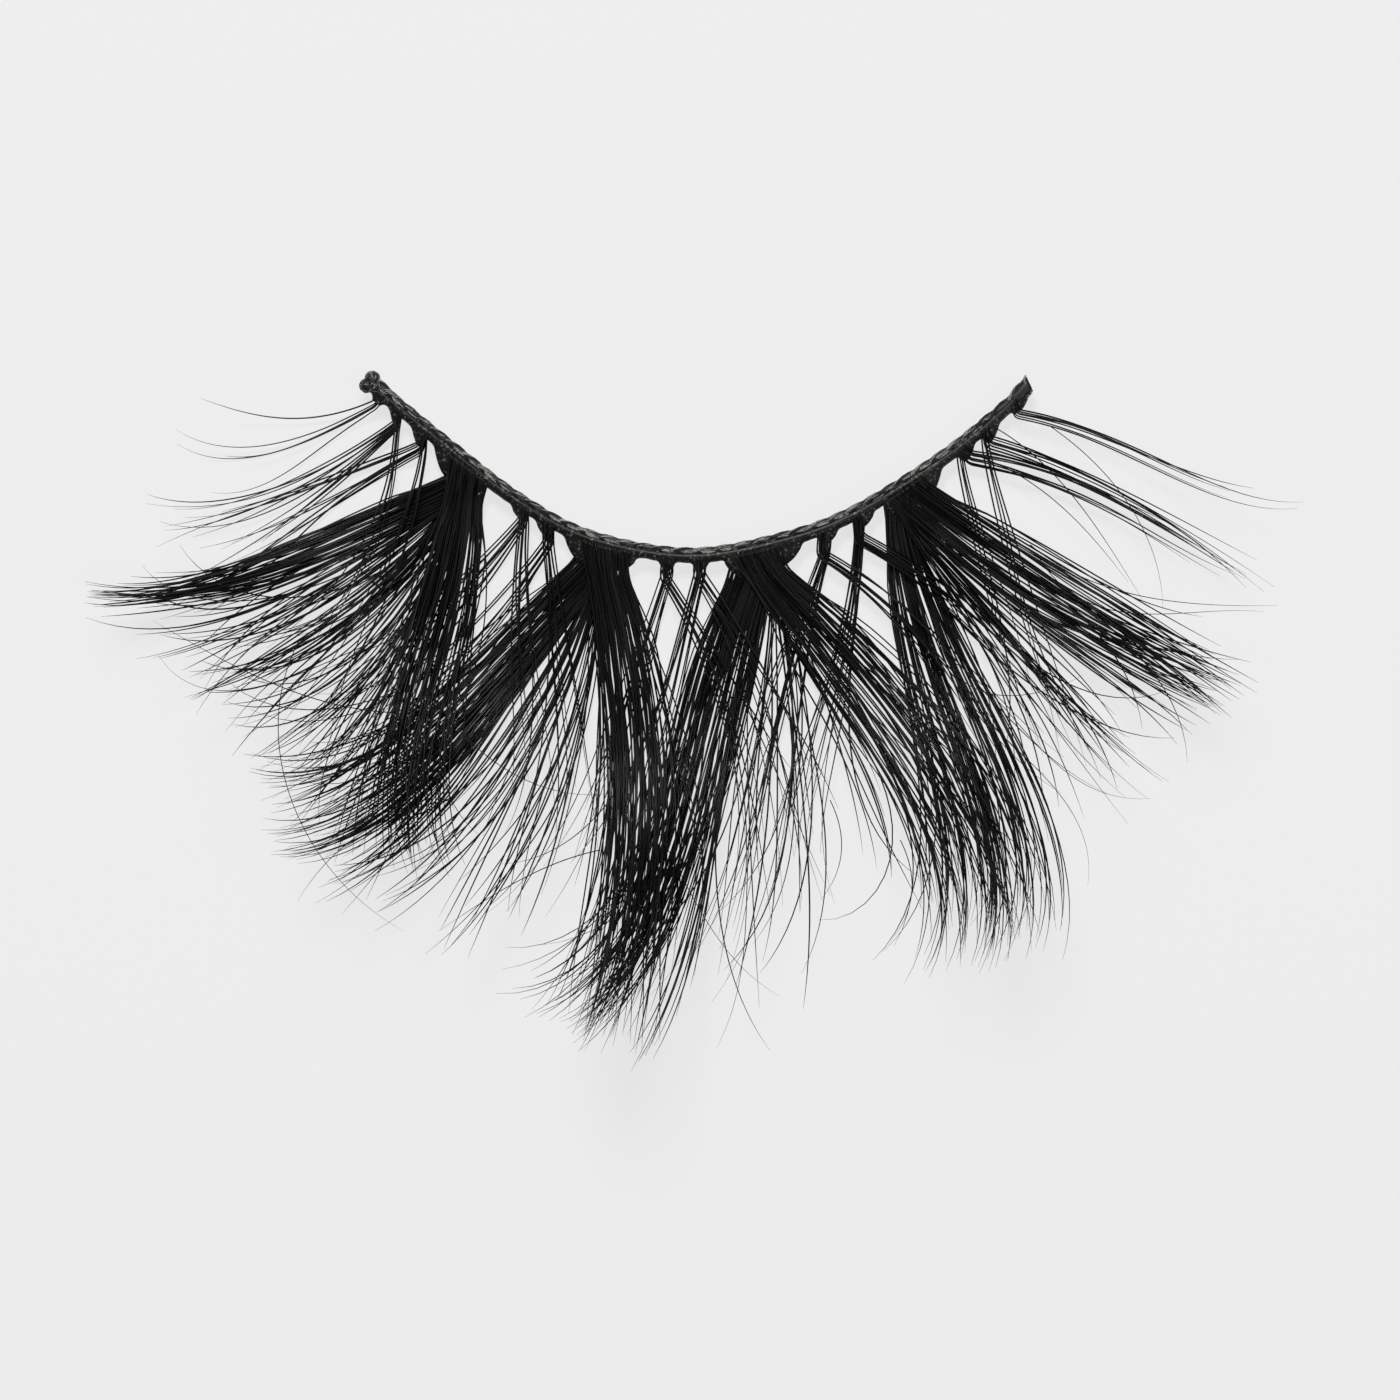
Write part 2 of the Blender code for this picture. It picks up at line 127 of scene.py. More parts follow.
# Braided cord: three strands of twisted filaments over a core. It swells towards the knob at
# its left end, and at its cut end it spreads further, shifts to the lash side and slants.
CORD_END_LENGTH = 0.0010
CORD_OVERRUN = 0.00030
CORD_CUT_LENGTH = 0.0028
CORD_CUT_SWELL = 1.30
CORD_CUT_SHIFT = 0.00028
CORD_CUT_SLANT = radians(25)
BRAID_PERIOD = 0.0026
STRAND_SWING = 0.000105
STRAND_LIFT = 0.000065
STRAND_TWIST = 0.0017
STRAND_RADIUS = 0.000058
FILAMENT_RADIUS = 0.000027
FILAMENT_SIDES = 5
FILAMENTS = 6
CORD_STEPS = 620
CORE_HALF_WIDTH = 0.00014
CORE_HALF_HEIGHT = 0.00008
CORE_STEPS = 160
CORE_CORNERS = 10

# Knob at the cord's left end: two lobes and the turn that joins them to the cord, each at a
# place across the cord and along it from its start.
KNOB_LOBES = ((-0.00006, -0.00030), (0.00036, -0.00028), (0.00016, 0.00002))
KNOB_RADIUS = 0.00031
KNOB_BODY = 0.96
KNOB_THREAD = 1.5
KNOB_THREAD_SIDES = 6
KNOB_TURNS = 9
KNOB_STEPS = 32

# Glue: a lip along the cord, fillets in the corners beside the knots, and skirts down them.
# The upper half of its section goes from the cord to the rim: a place across the band, a share
# of the half height, and the share of the fillet or skirt that is added to the place.
GLUE_SECTION = (
    (-0.00004, 0.9, 0.0), (0.00012, 1.0, 0.0), (0.00026, 0.80, 0.0), (0.00032, 0.42, 0.5),
    (0.00036, 0.16, 1.0),
)
GLUE_STATIONS = 660
GLUE_HALF_HEIGHT = 0.00018
GLUE_FILLET = 0.00020
GLUE_SKIRT = 0.42
GLUE_SETBACK = 0.00010
GLUE_LUMPS = 90.0
GLUE_UNEVENNESS = 0.00003
FULL_KNOT = 0.05
FULL_KNOT_SKIRT = 4.0
SLIM_KNOT_SKIRT = 1.6

# Stray hairs: thinner than the rest, and over them by a multiple of the layers' offset.
STRAY_THICKNESS = 0.62
STRAY_THINNING = 0.85
STRAY_TAPER = 2.5
STRAY_LIFT = 1.6
STRAY_RISE = 0.0003
MILLIMETRE = 0.001

# Picture: the width of floor in its frame, its centre from the bow's lowest point, and the
# camera, floor and sky.
PHOTO_WIDTH = 0.06118
PHOTO_CENTRE_X = -0.00004
PHOTO_CENTRE_Y = -0.00634
CAMERA_HEIGHT = 1.5
SENSOR_WIDTH = 36.0
FLOOR_HALF_WIDTH = 0.6
FLOOR_GLOW = 0.733
SKY_STRENGTH = 0.10

# Lamps: name, place, width in metres and power in watts.
LAMPS = (
    ("key_light", (-0.04, 0.22, 0.36), 0.10, 1.1),
    ("fill_light", (0.22, -0.10, 0.40), 0.30, 0.3),
)

# Seeds of the random draws.
LEG_SEED = 1000
BRAID_SEED = 77
STRAY_SEED = 5

# Step, as a share of the band's length, between the points that its direction is taken from.
TANGENT_STEP = 0.01

BandPoint = namedtuple("BandPoint", "across_chord above_bow")
Edge = namedtuple("Edge", "across down heading turn hook reach")
Leg = namedtuple("Leg", "layer core loose points splay tangle near far")
Tuft = namedtuple("Tuft", "name start end lean start_depth end_depth legs")
Wander = namedtuple("Wander", "start bend hook")

BAND_CURVE = (
    BandPoint(-0.498, 0.983),
    BandPoint(-0.386, 0.634),
    BandPoint(-0.276, 0.314),
    BandPoint(-0.166, 0.099),
    BandPoint(-0.017, 0.000),
    BandPoint(0.127, 0.093),
    BandPoint(0.236, 0.250),
    BandPoint(0.364, 0.552),
    BandPoint(0.456, 0.831),
    BandPoint(0.498, 1.012),
)

UNDER = -1
OVER = 1
ROOT_ROOM = {UNDER: (0.02, 0.78), OVER: (0.18, 0.98)}

# How far hairs stray from their leg, in degrees at a tangle of 1: as they set off, along their
# bend and in their hook. Core hairs stray with their strand and again by themselves.
SLIM_WANDER = Wander(0.8, 3.5, 9.0)
STRAND_WANDER = Wander(1.2, 2.6, 6.0)
CORE_WANDER = Wander(1.2, 1.8, 7.0)
LOOSE_WANDER = Wander(2.4, 9.0, 26.0)

# Each knot sits between two shares of the band's length and leans down at an angle in plan.
# A leg's near and far edges start across and down the knot, set off at a heading in degrees,
# turn evenly by the turn and bend once more by the hook. Depths and reaches are shares of
# LASH_REACH. Core hairs run together in strands that gather to a few points, and loose hairs
# cross them. The splay is how far, in degrees, the outer hairs turn out of the leg, and the
# tangle is how freely the hairs stray from it.
TUFTS = (
    Tuft("tuft_01", 0.008, 0.022, 235, 0.040, 0.040, (
        Leg(UNDER, 4, 1, 3, 1.5, 1.0,
            Edge(0.10, 0.78, 205, -50, 5, 0.39), Edge(0.70, 1.00, 212, 15, -85, 0.45)),
    )),
    Tuft("tuft_02", 0.036, 0.050, 268, 0.085, 0.075, (
        Leg(UNDER, 7, 3, 4, 3.5, 1.3,
            Edge(0.35, 0.38, 217, -14, -20, 0.53), Edge(0.50, 0.60, 221, -14, -16, 0.53)),
        Leg(OVER, 4, 1, 3, 2.0, 1.0,
            Edge(0.70, 0.86, 265, -45, 15, 0.50), Edge(1.15, 1.00, 266, -45, 15, 0.50)),
    )),
    Tuft("tuft_03", 0.074, 0.094, 268, 0.090, 0.080, (
        Leg(UNDER, 7, 3, 4, 3.5, 1.3,
            Edge(0.37, 0.40, 204, 4, -12, 0.58), Edge(0.56, 0.62, 208, 4, -12, 0.59)),
        Leg(OVER, 4, 1, 3, 2.0, 1.0,
            Edge(0.75, 0.86, 259, -30, 10, 0.61), Edge(1.15, 1.00, 261, -30, 10, 0.61)),
    )),
    Tuft("tuft_04", 0.112, 0.196, 266, 0.145, 0.090, (
        Leg(UNDER, 44, 10, 1, 0.6, 0.50,
            Edge(0.11, 0.50, 203, 3, -26, 0.76), Edge(0.24, 0.97, 208, -12, -32, 0.76)),
        Leg(UNDER, 20, 22, 9, 3.0, 1.6,
            Edge(0.24, 0.90, 207, 5, -30, 0.68), Edge(0.40, 1.00, 235, -30, -5, 0.66)),
        Leg(UNDER, 16, 22, 8, 4.0, 2.0,
            Edge(0.36, 1.00, 232, -35, -10, 0.64), Edge(0.66, 1.00, 252, -45, -5, 0.68)),
        Leg(UNDER, 18, 20, 6, 3.0, 1.8,
            Edge(0.50, 1.00, 243, -12, -25, 0.66), Edge(0.80, 1.00, 257, -12, -20, 0.74)),
        Leg(OVER, 52, 22, 7, 2.0, 1.1,
            Edge(0.22, 0.84, 256, -5, 32, 0.76), Edge(1.00, 0.82, 271, -50, 70, 0.74)),
    )),
    Tuft("tuft_05", 0.241, 0.262, 266, 0.060, 0.055, (
        Leg(UNDER, 6, 3, 3, 3.5, 1.2,
            Edge(0.42, 0.60, 229, -15, -20, 0.74), Edge(0.86, 0.78, 236, -30, -5, 0.74)),
        Leg(OVER, 5, 2, 3, 3.0, 1.2,
            Edge(0.62, 0.96, 264, 25, -20, 0.59), Edge(1.15, 1.00, 266, 25, -20, 0.60)),
    )),
    Tuft("tuft_06", 0.279, 0.300, 268, 0.073, 0.068, (
        Leg(UNDER, 6, 3, 3, 3.5, 1.2,
            Edge(0.44, 0.80, 234, -25, -10, 0.74), Edge(0.88, 1.00, 237, -30, -10, 0.76)),
        Leg(OVER, 5, 2, 3, 3.0, 1.2,
            Edge(0.65, 1.00, 276, 0, -10, 0.63), Edge(1.15, 1.00, 277, 0, -10, 0.64)),
    )),
    Tuft("tuft_07", 0.320, 0.414, 268, 0.130, 0.105, (
        Leg(UNDER, 28, 16, 4, 1.5, 1.2,
            Edge(0.03, 0.58, 225, 7, -47, 0.78), Edge(0.22, 0.88, 227, 12, -57, 0.81)),
        Leg(UNDER, 44, 16, 4, 1.0, 1.1,
            Edge(0.20, 0.88, 227, 12, -57, 0.82), Edge(0.37, 1.00, 229, 22, -70, 0.86)),
        Leg(UNDER, 26, 26, 7, 3.0, 1.6,
            Edge(0.22, 1.05, 236, -8, -20, 0.78), Edge(0.60, 1.00, 262, -28, 0, 0.80)),
        Leg(OVER, 70, 22, 8, 1.2, 1.1,
            Edge(0.37, 0.85, 279, -15, -8, 0.88), Edge(0.96, 0.70, 290, -43, 5, 0.98)),
    )),
    Tuft("tuft_08", 0.446, 0.464, 270, 0.062, 0.062, (
        Leg(UNDER, 6, 3, 3, 3.0, 1.2,
            Edge(0.22, 0.75, 252, 10, -25, 0.76), Edge(0.75, 0.75, 253, 10, -25, 0.76)),
        Leg(OVER, 5, 2, 3, 3.0, 1.2,
            Edge(0.36, 1.00, 302, -35, 0, 0.74), Edge(0.85, 0.98, 303, -35, 0, 0.75)),
    )),
    Tuft("tuft_09", 0.489, 0.507, 270, 0.057, 0.057, (
        Leg(UNDER, 6, 3, 3, 3.0, 1.2,
            Edge(0.12, 0.75, 255, 5, -15, 0.77), Edge(0.66, 0.72, 256, 5, -15, 0.77)),
        Leg(OVER, 5, 2, 3, 3.0, 1.2,
            Edge(0.32, 1.00, 303, -30, 15, 0.68), Edge(0.86, 0.98, 304, -30, 15, 0.68)),
    )),
    Tuft("tuft_10", 0.530, 0.632, 270, 0.120, 0.115, (
        Leg(UNDER, 62, 22, 8, 1.2, 1.1,
            Edge(-0.05, 0.70, 245, 50, -104, 0.97), Edge(0.55, 1.00, 255, 10, -32, 0.98)),
        Leg(UNDER, 9, 15, 5, 4.0, 1.4,
            Edge(0.50, 1.00, 260, -4, -35, 0.92), Edge(0.80, 1.00, 286, -15, -40, 0.80)),
        Leg(OVER, 58, 22, 8, 1.2, 1.2,
            Edge(0.42, 0.82, 303, 10, -50, 0.80), Edge(0.92, 0.66, 321, -27, -22, 0.92)),
    )),
    Tuft("tuft_11", 0.656, 0.680, 271, 0.070, 0.070, (
        Leg(UNDER, 7, 4, 4, 3.0, 1.2,
            Edge(0.02, 1.00, 250, 25, -40, 0.94), Edge(0.40, 0.95, 253, 20, -40, 0.92)),
        Leg(OVER, 7, 3, 3, 3.0, 1.2,
            Edge(0.12, 1.00, 329, -55, 55, 0.72), Edge(0.44, 0.80, 330, -55, 55, 0.73)),
    )),
    Tuft("tuft_12", 0.706, 0.733, 271, 0.070, 0.070, (
        Leg(UNDER, 7, 4, 4, 3.0, 1.2,
            Edge(0.02, 1.00, 266, -30, 30, 0.72), Edge(0.34, 0.88, 267, -30, 30, 0.72)),
        Leg(OVER, 7, 3, 3, 3.0, 1.2,
            Edge(0.30, 1.00, 332, -45, 35, 0.77), Edge(0.54, 0.80, 332, -45, 35, 0.78)),
    )),
    Tuft("tuft_13", 0.752, 0.838, 274, 0.105, 0.125, (
        Leg(UNDER, 70, 16, 5, 0.5, 0.8,
            Edge(-0.03, 0.72, 272, 40, -66, 0.92), Edge(0.46, 0.88, 288, 33, -72, 0.91)),
        Leg(OVER, 15, 20, 7, 3.0, 1.4,
            Edge(0.40, 1.00, 304, -6, -14, 0.62), Edge(0.58, 0.95, 320, 2, 0, 0.70)),
        Leg(OVER, 54, 18, 8, 0.6, 1.0,
            Edge(0.55, 0.95, 319, 19, -3, 0.69), Edge(0.94, 0.36, 327, 0, 1, 0.77)),
    )),
    Tuft("tuft_14", 0.868, 0.891, 274, 0.068, 0.072, (
        Leg(UNDER, 3, 1, 3, 2.0, 1.0,
            Edge(-0.05, 1.00, 281, 10, 0, 0.57), Edge(0.32, 0.90, 283, 10, 0, 0.56)),
        Leg(OVER, 7, 1, 2, 0.2, 0.4,
            Edge(0.84, 0.62, 349, -38, 20, 0.59), Edge(1.00, 0.34, 352, -42, 22, 0.60)),
    )),
    Tuft("tuft_15", 0.908, 0.933, 272, 0.075, 0.078, (
        Leg(UNDER, 3, 1, 3, 2.0, 1.0,
            Edge(0.02, 0.90, 281, 10, 0, 0.66), Edge(0.45, 0.95, 283, 10, 0, 0.65)),
        Leg(OVER, 7, 1, 2, 0.2, 0.4,
            Edge(0.44, 0.60, 344, -29, 12, 0.62), Edge(0.66, 0.35, 344, -28, 10, 0.63)),
    )),
    Tuft("tuft_16", 0.958, 0.985, 290, 0.050, 0.055, (
        Leg(OVER, 5, 1, 2, 0.2, 0.45,
            Edge(0.16, 0.56, 349, -44, 64, 0.59), Edge(0.38, 0.36, 350, -45, 65, 0.60)),
    )),
)


def blend(first, last, share):
    return first + (last - first) * share


def trace_band():
    """The band's centre line in plan as points on one smooth curve, with the length to each."""
    marks = [Vector((p.across_chord * BAND_CHORD, p.above_bow * BAND_SAG)) for p in BAND_CURVE]
    marks.insert(0, 2 * marks[0] - marks[1])
    marks.append(2 * marks[-1] - marks[-2])
    points = []
    steps = 16
    for a, b, c, d in zip(marks, marks[1:], marks[2:], marks[3:]):
        for step in range(steps):
            t = step / steps
            cubic = (3 * b - a - 3 * c + d) * t ** 3
            square = (2 * a - 5 * b + 4 * c - d) * t ** 2
            points.append((2 * b + (c - a) * t + square + cubic) / 2)
    points.append(marks[-2])
    line = np.array([tuple(p) for p in points])
    runs = np.linalg.norm(np.diff(line, axis=0), axis=1)
    return line, np.concatenate([[0.0], np.cumsum(runs)])


BAND_LINE, BAND_RUN = trace_band()
BAND_LENGTH = BAND_RUN[-1]


def band_at(share):
    run = np.asarray(share) * BAND_LENGTH
    return np.stack([np.interp(run, BAND_RUN, BAND_LINE[:, k]) for k in (0, 1)], axis=-1)


def tangent_at(share):
    share = np.asarray(share)
    ahead = band_at(np.minimum(share + TANGENT_STEP, 1.0))
    along = ahead - band_at(np.maximum(share - TANGENT_STEP, 0.0))
    return along / np.linalg.norm(along, axis=-1, keepdims=True)


def side_at(share):
    """Unit vectors in plan from the band towards the lashes."""
    along = tangent_at(share)
    return np.stack([along[..., 1], -along[..., 0]], axis=-1)


def cut_share(run):
    """How far into the cut end, from none to all, the cord is at a run."""
    share = np.clip(1.0 - (BAND_LENGTH - run) / CORD_CUT_LENGTH, 0.0, 1.0)
    return share * share * (3 - 2 * share)


def cord_swell(run):
    """The cord is doubled into a knob at its left end and spread flat and wide at its right."""
    knob = np.clip(1.0 - (run / CORD_END_LENGTH) ** 4, 0.0, 1.0)
    return 1.0 + CORD_END_SWELL * knob + CORD_CUT_SWELL * cut_share(run)


def place_in_frame():
    """Move the band's line to where the cord's node has it and return the band's level."""
    low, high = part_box("band_cord")
    reach = CORD_MIDDLE + CORD_WIDTH / 2 * (1.0 + CORD_END_SWELL)
    left_corner = band_at(0.0) + side_at(0.0) * reach
    shift = np.array([low.x - left_corner[0], low.y + CORD_MIDDLE + CORD_WIDTH / 2])
    BAND_LINE[:] += shift
    return shift, (low.z + high.z) / 2


SHIFT, BAND_LEVEL = place_in_frame()
BELLY_LEVEL = BAND_LEVEL - ROOT_DROP


def distance_to_band(points):
    """Plan distance of many points from the band's line."""
    start = BAND_LINE[:-1]
    along = BAND_LINE[1:] - start
    square = (along ** 2).sum(axis=1)
    flat = points.reshape(-1, 2)
    nearest = np.empty(len(flat))
    batch = 4096
    for first in range(0, len(flat), batch):
        offset = flat[first:first + batch, None, :] - start
        share = np.clip((offset * along).sum(axis=2) / square, 0.0, 1.0)
        gap = offset - along * share[..., None]
        nearest[first:first + batch] = np.sqrt((gap ** 2).sum(axis=2).min(axis=1))
    return nearest.reshape(points.shape[:-1])


def arc_rise(run, full_run, full_rise):
    """Height of a circle that leaves the level and rises full_rise over full_run."""
    radius = (full_run ** 2 + full_rise ** 2) / (2 * full_rise)
    return radius - np.sqrt(np.maximum(radius ** 2 - run ** 2, 0.0))


def bowl_height(points):
    """Height of the lashes' middle surface: down from the band, along the belly, up the curl."""
    distance = distance_to_band(points)
    belly_end = BELLY_START + BELLY_LENGTH
    root = arc_rise(np.maximum(BELLY_START - distance, 0.0), BELLY_START, ROOT_DROP)
    run = np.clip(distance - belly_end, 0.0, (LASH_REACH - belly_end) * 1.02)
    return BELLY_LEVEL + root + arc_rise(run, LASH_REACH - belly_end, CURL_RISE)


def knot_depth(tuft, across):
    return blend(tuft.start_depth, tuft.end_depth, across) * LASH_REACH - KNOT_SEAT


def lean_of(tuft):
    return np.array([cos(radians(tuft.lean)), sin(radians(tuft.lean))])


def knot_place(tuft, across, down):
    """Plan points of a knot, across it from its start to its end and down its depth."""
    share = blend(tuft.start, tuft.end, across)
    rounding = 1.0 - KNOT_ROUNDING * down * (2 * np.clip(across, 0.0, 1.0) - 1) ** 4
    depth = knot_depth(tuft, across) * down * rounding
    return band_at(share) + side_at(share) * KNOT_SEAT + lean_of(tuft) * depth[..., None]


def ease(value, start, end):
    t = np.clip((value - start) / (end - start), 0.0, 1.0)
    return t * t * (3 - 2 * t)


def leg_paths(tuft, leg, across, reach_share, turns):
    """Plan points of hairs along a leg, each turned off it by its own start, bend and hook."""
    table = np.array([list(leg.near), list(leg.far)], dtype=float)
    edge = Edge(*(blend(table[0], table[1], across[..., None]).transpose(2, 0, 1)))
    start, bend, hook, wave, phase = (turn[:, None] for turn in turns)
    steps = across.shape[1] - 1
    s = np.linspace(0.0, 1.0, steps + 1)[None, :] * reach_share[:, None]
    heading = edge.heading + (edge.turn + bend) * s + (edge.hook + hook) * s ** 3
    waves = wave * np.sin(WAVES * s + phase) * ease(s, *WAVE_RUN)
    heading = np.radians(heading + start * ease(s, *SETTING_OFF_RUN) + waves)
    stride = edge.reach * LASH_REACH * reach_share[:, None] / steps
    step = np.stack([np.cos(heading), np.sin(heading)], axis=-1) * stride[..., None]
    middle = (step[:, 1:] + step[:, :-1]) / 2
    travelled = np.concatenate([np.zeros((len(across), 1, 2)), np.cumsum(middle, axis=1)], axis=1)
    root = knot_place(tuft, edge.across, edge.down)
    return root + travelled, np.degrees(heading[:, 0]), edge.across[:, 0]


def slim_spread(leg, rng, count, s):
    """Where a slim leg's hairs lie across it: side by side, gathered to a few strands."""
    u = (np.arange(count) + rng.uniform(0.25, 0.75, count)) / count
    across = np.repeat((SLIM_WIDENING * (u - 0.5) + 0.5)[:, None], len(s), axis=1)
    strand = np.minimum((u * leg.points).astype(int), leg.points - 1)
    middle = SLIM_WIDENING * ((strand + 0.5) / leg.points - 0.5) + 0.5
    across += (middle[:, None] - across) * SLIM_GATHER * ease(s, *SLIM_GATHER_RUN)
    splay = leg.splay * (2 * u - 1)
    reach = SLIM_LONGEST - SLIM_SHORTENING * rng.uniform(0.0, 1.0, count) ** 2
    start = splay + rng.normal(0.0, SLIM_WANDER.start, count) * leg.tangle
    bend = splay * 0.3 + rng.normal(0.0, SLIM_WANDER.bend, count) * leg.tangle
    hook = rng.normal(0.0, SLIM_WANDER.hook, count) * leg.tangle
    return across, reach, start, bend, hook


def core_spread(leg, rng, count, s):
    """Where core hairs lie across a leg: in strands of a few hairs that gather to its points."""

    def stray(strand_by, hair_by):
        own = rng.normal(0.0, strand_by, strands)[strand]
        return (own + rng.normal(0.0, hair_by, count)) * leg.tangle

    u = (np.arange(count) + rng.uniform(0.05, 0.95, count)) / count
    strands = max(count // STRAND_HAIRS, 1)
    strand = np.minimum((u * strands).astype(int), strands - 1)
    strand_middle = (np.arange(strands) + 0.5 + rng.uniform(-0.3, 0.3, strands)) / strands
    point = np.minimum((u * leg.points).astype(int), leg.points - 1)
    shift = rng.uniform(-0.25, 0.25, leg.points)
    point_middle = (np.arange(leg.points) + 0.5 + shift) / leg.points
    off_strand = (strand_middle[strand] - u)[:, None]
    across = u[:, None] + off_strand * STRAND_GATHER * ease(s, *STRAND_GATHER_RUN)
    gather = SPIKE_GATHER if leg.points == 1 else POINT_GATHER
    across += (point_middle[point][:, None] - across) * gather * ease(s, *POINT_GATHER_RUN)
    off_middle = np.abs(u - point_middle[point]) * leg.points * 2
    reach = CORE_LONGEST - POINT_SHORTENING * off_middle
    reach -= CORE_SHORTENING * rng.uniform(0.0, 1.0, count) ** 2.5
    splay = leg.splay * (2 * u - 1)
    bend = splay + stray(STRAND_WANDER.bend, CORE_WANDER.bend)
    hook = stray(STRAND_WANDER.hook, CORE_WANDER.hook)
    start = splay * 0.4 + stray(STRAND_WANDER.start, CORE_WANDER.start)
    return across, reach, start, bend, hook


def loose_spread(leg, rng, count, s):
    """Where loose hairs lie across a leg: past both its edges and crossing the rest."""
    u = (np.arange(count) + rng.uniform(0.0, 1.0, count)) / count
    widening = (LOOSE_WIDENING * (2 * u - 1))[:, None]
    across = u[:, None] + widening * ease(s, *LOOSE_WIDENING_RUN)
    reach = rng.uniform(*LOOSE_REACH, count)
    splay = leg.splay * (2 * u - 1)
    start = splay * 0.6 + rng.normal(0.0, LOOSE_WANDER.start, count) * leg.tangle
    bend = splay * 1.5 + rng.normal(0.0, LOOSE_WANDER.bend, count) * leg.tangle
    hook = rng.normal(0.0, LOOSE_WANDER.hook, count) * leg.tangle
    return across, reach, start, bend, hook


def root_paths(tuft, leg, rng, leg_part, across, heading, root_across, stack):
    """Hairs' first stretch: from the cord straight down the knot, bending into the leg."""
    count = len(leg_part)
    spaced = blend(*ROOT_ROOM[leg.layer], np.clip(across[:, 0], 0.0, 1.0))
    behind = np.radians(tuft.lean - heading)
    above = band_at(blend(tuft.start, tuft.end, root_across))
    knot_run = np.linalg.norm(leg_part[:, 0, :2] - above, axis=1)
    knot_width = (tuft.end - tuft.start) * BAND_LENGTH
    straight = np.clip(root_across + knot_run * np.tan(behind) / knot_width, 0.0, 1.0)
    first_across = blend(spaced, straight, STRAIGHT_ROOT)
    first_across = first_across + rng.uniform(-ROOT_SPREAD, ROOT_SPREAD, count)
    share = blend(tuft.start, tuft.end, np.clip(first_across, 0.0, 1.0))
    level = BAND_LEVEL + leg.layer * ROOT_LAYER + stack * ROOT_STACK
    first = np.concatenate([band_at(share) + side_at(share) * ROOT_INSET, level[:, None]], axis=1)
    last = leg_part[:, 0]
    gap = np.linalg.norm(last - first, axis=1)[:, None]
    lead = np.append(lean_of(tuft), 0.0) * ROOT_LEAD + (last - first) / gap
    lead *= gap / np.linalg.norm(lead, axis=1)[:, None]
    arrive = leg_part[:, 1] - leg_part[:, 0]
    arrive *= gap / np.linalg.norm(arrive, axis=1)[:, None]
    t = np.linspace(0.0, 1.0, ROOT_STEPS + 1)[:-1, None, None]
    return (
        (2 * t ** 3 - 3 * t ** 2 + 1) * first + (t ** 3 - 2 * t ** 2 + t) * lead
        + (3 * t ** 2 - 2 * t ** 3) * last + (t ** 3 - t ** 2) * arrive
    ).transpose(1, 0, 2)


def hair_paths(tuft, leg, rng, count, loose):
    """Centre lines of a leg's hairs, from the cord to the tips, with their radii and tones."""
    s = np.linspace(0.0, 1.0, LEG_STEPS + 1)
    slim = leg.core < FULL_LEG
    spread = loose_spread if loose else slim_spread if slim else core_spread
    across, reach, start, bend, hook = spread(leg, rng, count, s)
    wave = rng.normal(0.0, LOOSE_WAVE if loose else CORE_WAVE, count)
    phase = rng.uniform(0.0, tau, count)
    turns = (start, bend, hook, wave, phase)
    plan, heading, root_across = leg_paths(tuft, leg, across, reach, turns)

    # Stacking within the leg, growing from the tight knot to the open tips.
    stack = rng.uniform(-1.0, 1.0, count)
    curl = rng.normal(0.0, 1.0, count)
    depth = BUNDLE_DEPTH * (1 - s) + FAN_DEPTH * s
    lift = leg.layer * LAYER_OFFSET * blend(LAYER_AT_KNOT, 1.0, ease(s, *LAYER_RUN))
    height = bowl_height(plan) + lift + stack[:, None] * depth
    height = height + curl[:, None] * FAN_DEPTH * CURL_SPREAD * s ** 3
    leg_part = np.concatenate([plan, height[..., None]], axis=2)
    root_part = root_paths(tuft, leg, rng, leg_part, across, heading, root_across, stack)
    path = np.concatenate([root_part, leg_part], axis=1)

    thickness = rng.uniform(THINNEST, THICKEST, count) * (LOOSE_THICKNESS if loose else 1.0)
    power = LOOSE_TAPER if loose else SLIM_TAPER if slim else FULL_TAPER
    taper = np.concatenate([np.ones(ROOT_STEPS), 1.0 - TIP_THINNING * s ** power])
    radii = np.maximum(HAIR_RADIUS * thickness[:, None] * taper, TIP_RADIUS)
    path[..., 2] = np.maximum(path[..., 2], radii + FLOOR_CLEARANCE)
    tone = np.clip(rng.normal(TONE, TONE_SPREAD, count), 0.0, 1.0)
    return path, radii, tone


